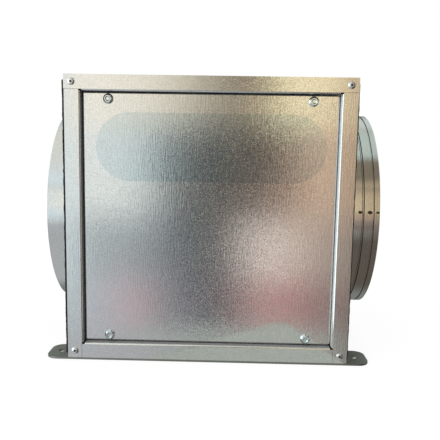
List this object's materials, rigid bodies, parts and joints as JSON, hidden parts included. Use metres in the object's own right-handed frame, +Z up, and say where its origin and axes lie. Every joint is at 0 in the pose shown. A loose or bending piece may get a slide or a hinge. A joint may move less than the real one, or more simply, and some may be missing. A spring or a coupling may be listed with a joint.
{
  "type": "inline duct fan",
  "caption": "Square galvanised cabinet duct fan with round spigots on both sides, a bolted front access panel, mounting rails underneath and a curved-blade impeller inside.",
  "frame": {"origin": "on the floor, in the middle of the fixing holes of the mounting rails", "axes": "+X along the air path, from the inlet spigot to the outlet spigot; +Y from the access panel to the rear; +Z up"},
  "size_m": [0.4925, 0.4677, 0.403],
  "materials": {
    "galvanised_sheet": "satin zinc coating with fine spangle",
    "galvanised_plate": "dull zinc coating",
    "zinc_plated_steel": "bright zinc plating",
    "passivated_steel": "yellow passivated zinc",
    "foam_rubber": "closed-cell foam",
    "rubber": "moulded",
    "cast_aluminium": "as cast",
    "core_steel": "stacked laminations",
    "copper": "enamelled copper wire",
    "ground_steel": "ground",
    "black_coated_steel": "black dip coating",
    "magnet": "bonded ferrite",
    "aluminium_sheet": "satin sheet",
    "grey_plastic": "moulded, fine grain",
    "black_plastic": "moulded",
    "white_plastic": "moulded"
  },
  "bodies": {
    "cabinet": {"top_panel": "galvanised_sheet", "bottom_panel": "galvanised_sheet", "inlet_side_panel": "galvanised_sheet", "outlet_side_panel": "galvanised_sheet", "rear_panel": "galvanised_sheet", "top_rail": "galvanised_sheet", "bottom_rail": "galvanised_sheet", "left_stile": "galvanised_sheet", "right_stile": "galvanised_sheet", "frame_seal": "foam_rubber", "corner_rivets": "zinc_plated_steel", "side_rivets": "zinc_plated_steel", "rear_rivets": "zinc_plated_steel", "inlet_spigot": "galvanised_sheet", "outlet_spigot": "galvanised_sheet", "spigot_rivets": "zinc_plated_steel", "inlet_cone": "galvanised_sheet", "front_mounting_rail": "galvanised_plate", "rear_mounting_rail": "galvanised_plate", "rail_screws": "zinc_plated_steel", "rail_nuts": "zinc_plated_steel", "panel_seal": "foam_rubber", "rivet_nuts": "passivated_steel", "motor_support": "galvanised_plate", "rubber_buffers": "rubber", "support_bolts": "zinc_plated_steel", "support_nuts": "zinc_plated_steel", "stator_housing": "cast_aluminium", "stator_core": "core_steel", "stator_windings": "copper", "ball_bearings": "ground_steel", "wave_washer": "ground_steel", "motor_screws": "zinc_plated_steel", "electronics_cover": "cast_aluminium", "lead_gland": "black_plastic", "motor_lead": "black_plastic", "wall_grommet": "rubber", "terminal_box": "grey_plastic", "terminal_box_screws": "zinc_plated_steel", "terminal_block": "white_plastic", "terminal_box_lid": "grey_plastic", "terminal_lid_screws": "zinc_plated_steel", "cable_gland": "black_plastic"},
    "impeller": {"rotor_cup": "black_coated_steel", "rotor_magnets": "magnet", "rotor_shaft": "ground_steel", "shaft_circlip": "ground_steel", "impeller_back_plate": "aluminium_sheet", "impeller_blades": "aluminium_sheet", "impeller_shroud": "aluminium_sheet", "impeller_screws": "zinc_plated_steel"},
    "front_panel": {"access_panel": "galvanised_sheet", "panel_bolts": "zinc_plated_steel"}
  },
  "joints": [
    {"name": "impeller_spin", "type": "hinge", "parent": "cabinet", "child": "impeller", "pos_m": [0, 0, 0.203], "axis": [1, 0, 0], "continuous": true},
    {"name": "panel_removal", "type": "slide", "parent": "cabinet", "child": "front_panel", "axis": [0, -1, 0], "range_m": [0, 0.25]}
  ]
}
